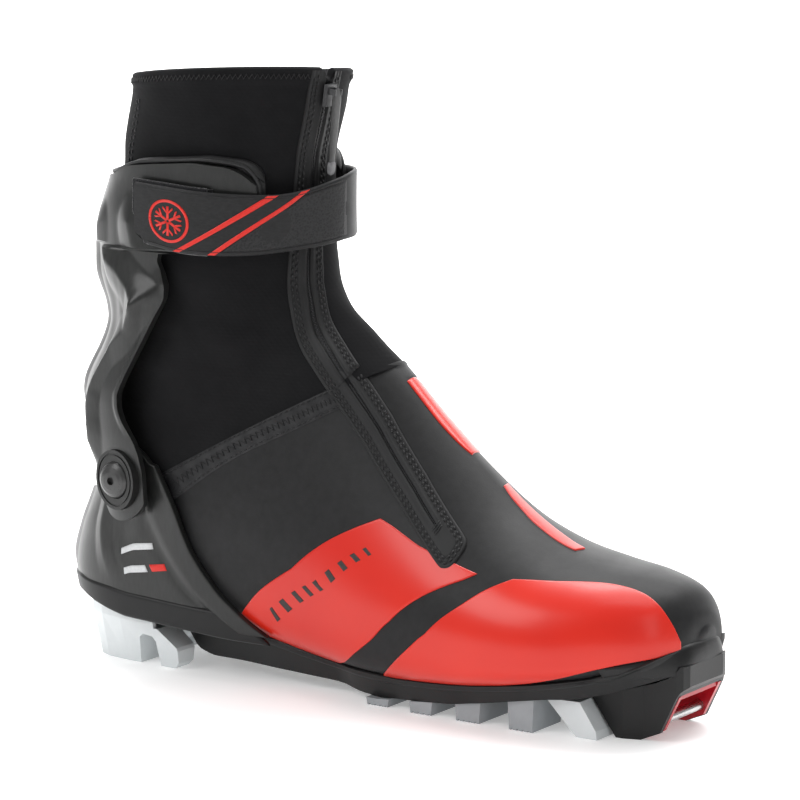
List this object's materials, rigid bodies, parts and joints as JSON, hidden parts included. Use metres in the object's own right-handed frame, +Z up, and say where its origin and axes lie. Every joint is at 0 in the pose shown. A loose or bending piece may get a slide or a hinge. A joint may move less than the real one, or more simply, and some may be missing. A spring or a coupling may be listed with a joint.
{
  "type": "cross country ski boot",
  "caption": "Right skate ski boot with a hinged moulded cuff, zipped stretch gaiter, closing strap, bonded overlays and a treaded sole with a toe bar.",
  "frame": {"origin": "on the ground under the middle of the boot's bounding box", "axes": "+X points to the toe, +Y to the inner side of the foot, +Z up"},
  "size_m": [0.304, 0.1003, 0.2531],
  "materials": {
    "sole_rubber": "satin moulded sole, side walls smooth",
    "tread_white": "pale, smooth moulded tread",
    "lug_grey": "light grey tread rubber",
    "bracket_red": "deep red moulded plastic, satin",
    "bar_steel": "turned steel bar",
    "insole_felt": "flat felt insole",
    "shell_carbon": "semi-gloss moulded shell with a fine brushed grain",
    "upper_black": "satin bonded synthetic upper with faint fabric grain",
    "gaiter_neoprene": "matt stretch neoprene with a fine knit face",
    "lining_mesh": "knitted lining",
    "seam_film": "thin bonded tape, zigzag stitched",
    "overlay_red": "glossy bonded film, orange red",
    "zip_tape": "coated zip cover",
    "zip_coil": "black coil",
    "pivot_metal": "plain steel",
    "screw_dark": "dark, half gloss",
    "padding_black": "soft coated padding, stitched edge",
    "binding_black": "folded hem",
    "cap_plastic": "satin disc",
    "strap_webbing": "coated strap with printed red stripes",
    "hook_loop": "hook and loop pile",
    "slider_metal": "small zip slider",
    "pull_grey": "rubbery grey pull with a pale tip"
  },
  "bodies": {
    "boot": {"sole_rand": "sole_rubber", "outsole": "sole_rubber", "toe_block": "sole_rubber", "heel_tread": "tread_white", "forefoot_lugs_outer": "lug_grey", "forefoot_lugs_inner": "lug_grey", "toe_lugs": "tread_white", "bar_bracket": "bracket_red", "toe_bar": "bar_steel", "footbed": "insole_felt", "heel_counter": "shell_carbon", "vamp": "upper_black", "ankle_gaiter": "gaiter_neoprene", "gaiter_flex": "gaiter_neoprene", "tongue": "lining_mesh", "seam_tape_outer": "seam_film", "seam_tape_inner": "seam_film", "toe_overlay_outer": "overlay_red", "toe_overlay_inner": "overlay_red", "quarter_overlay_outer": "overlay_red", "quarter_overlay_inner": "overlay_red", "instep_patch_upper": "overlay_red", "instep_patch_lower": "overlay_red", "zip_tape_lower": "zip_tape", "zip_coil_lower": "zip_coil", "zip_stop": "zip_coil", "pivot_bush_outer": "pivot_metal", "pivot_bush_inner": "pivot_metal", "pivot_nut_outer": "pivot_metal", "pivot_nut_inner": "pivot_metal", "pivot_screw_outer": "screw_dark", "pivot_screw_inner": "screw_dark"},
    "cuff": {"cuff_shell": "shell_carbon", "cuff_padding": "padding_black", "collar_gaiter": "gaiter_neoprene", "collar_binding": "binding_black", "pivot_cap_outer": "cap_plastic", "pivot_cap_inner": "cap_plastic", "strap_band": "strap_webbing", "strap_rivets": "pivot_metal", "strap_loop_pad": "hook_loop", "zip_tape_upper": "zip_tape", "zip_coil_upper": "zip_coil"},
    "strap_tail": {"strap_tail": "strap_webbing", "strap_hook_pad": "hook_loop"},
    "zip_slider": {"zip_slider": "slider_metal"},
    "zip_pull": {"zip_pull": "pull_grey"}
  },
  "joints": [
    {"name": "cuff_lean", "type": "hinge", "parent": "boot", "child": "cuff", "pos_m": [-0.104, 0, 0.082], "axis": [0, 1, 0], "range_deg": [-4, 16], "deforming": ["gaiter_flex"]},
    {"name": "strap_open", "type": "hinge", "parent": "cuff", "child": "strap_tail", "pos_m": [-0.0388, -0.0338, 0.195], "axis": [0, 0, 1], "range_deg": [0, 100]},
    {"name": "zip_slide", "type": "slide", "parent": "cuff", "child": "zip_slider", "axis": [-0.1522, 0, -0.9883], "range_m": [0, 0.032]},
    {"name": "pull_swing", "type": "hinge", "parent": "zip_slider", "child": "zip_pull", "pos_m": [-0.0199, -0.0055, 0.24475], "axis": [0, -1, 0], "range_deg": [0, 140]}
  ]
}
